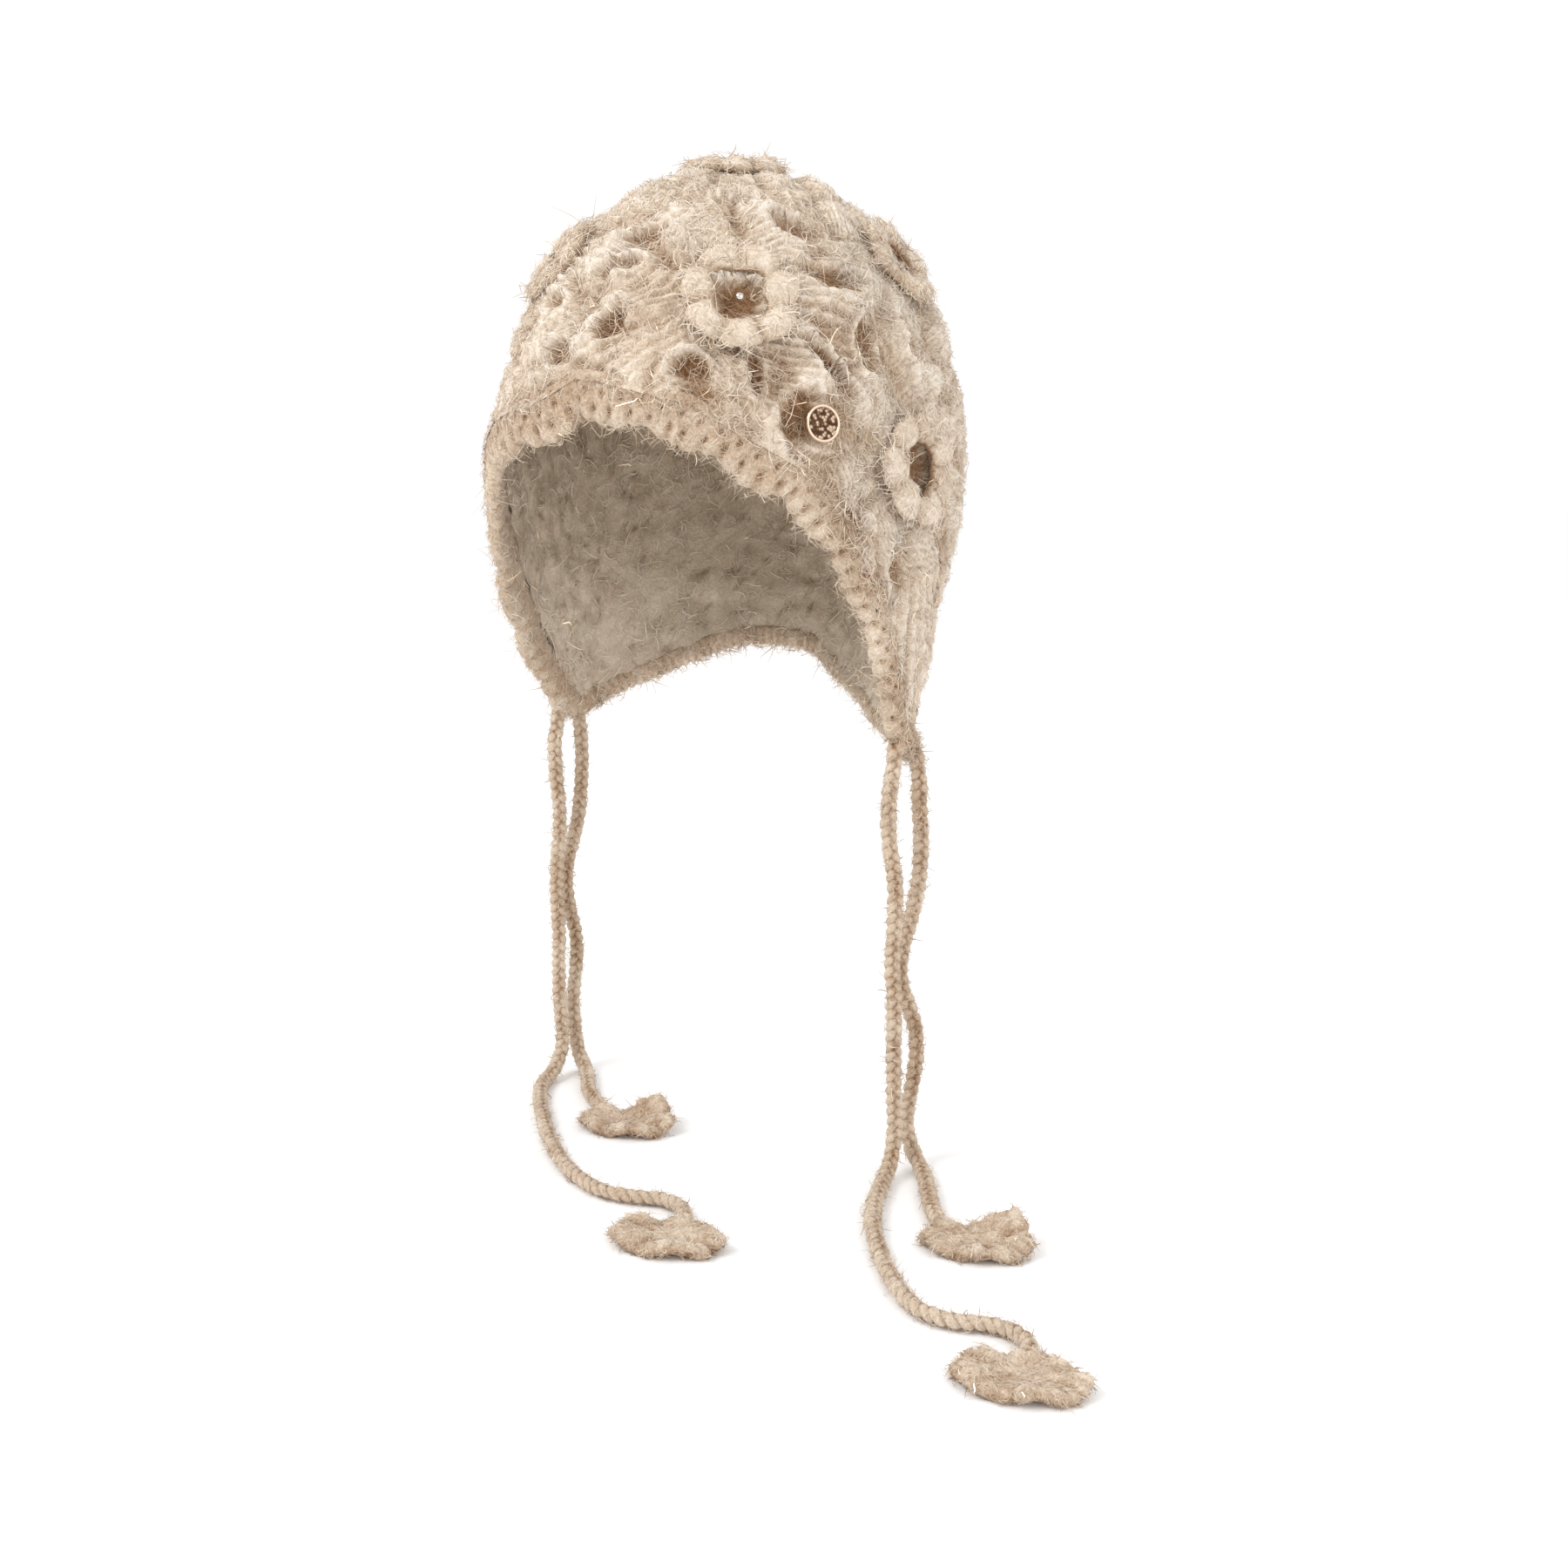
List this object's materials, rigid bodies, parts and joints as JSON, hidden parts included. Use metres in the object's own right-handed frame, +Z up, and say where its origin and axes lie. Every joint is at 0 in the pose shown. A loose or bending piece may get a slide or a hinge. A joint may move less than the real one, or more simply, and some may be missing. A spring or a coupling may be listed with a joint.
{
  "type": "crocheted bonnet with earflaps and tie cords",
  "caption": "Crocheted wool bonnet with earflaps, raised flowers, a scalloped shell border and tie cords that end in ruffled flowers.",
  "frame": {"origin": "inner top of the crown, where a head carries the hat", "axes": "+Z up out of the crown, the face opening looks along -Y, and the wearer's left side is +X"},
  "size_m": [0.3283, 0.2264, 0.3878],
  "materials": {
    "crown_wool": "brushed mohair crochet",
    "border_wool": "brushed mohair crochet",
    "flower_wool": "brushed mohair crochet",
    "tie_wool": "brushed mohair crochet",
    "badge_metal": "pale rose gold plate, pebbled",
    "bead_metal": "polished"
  },
  "bodies": {
    "root": {"hat_body": "crown_wool", "front_border": "border_wool", "hem_edge": "border_wool", "flower_front": "flower_wool", "flower_top": "flower_wool", "flower_left": "flower_wool", "flower_left_upper": "flower_wool", "flower_right_upper": "flower_wool", "flower_right": "flower_wool", "flower_right_back": "flower_wool", "flower_back": "flower_wool", "flower_nape": "flower_wool", "flower_bead": "bead_metal", "badge": "badge_metal", "cord_left_long": "tie_wool", "cord_left_short": "tie_wool", "cord_right_long": "tie_wool", "cord_right_short": "tie_wool", "tie_flower_left_long": "flower_wool", "tie_flower_left_short": "flower_wool", "tie_flower_right_long": "flower_wool", "tie_flower_right_short": "flower_wool"}
  },
  "joints": []
}
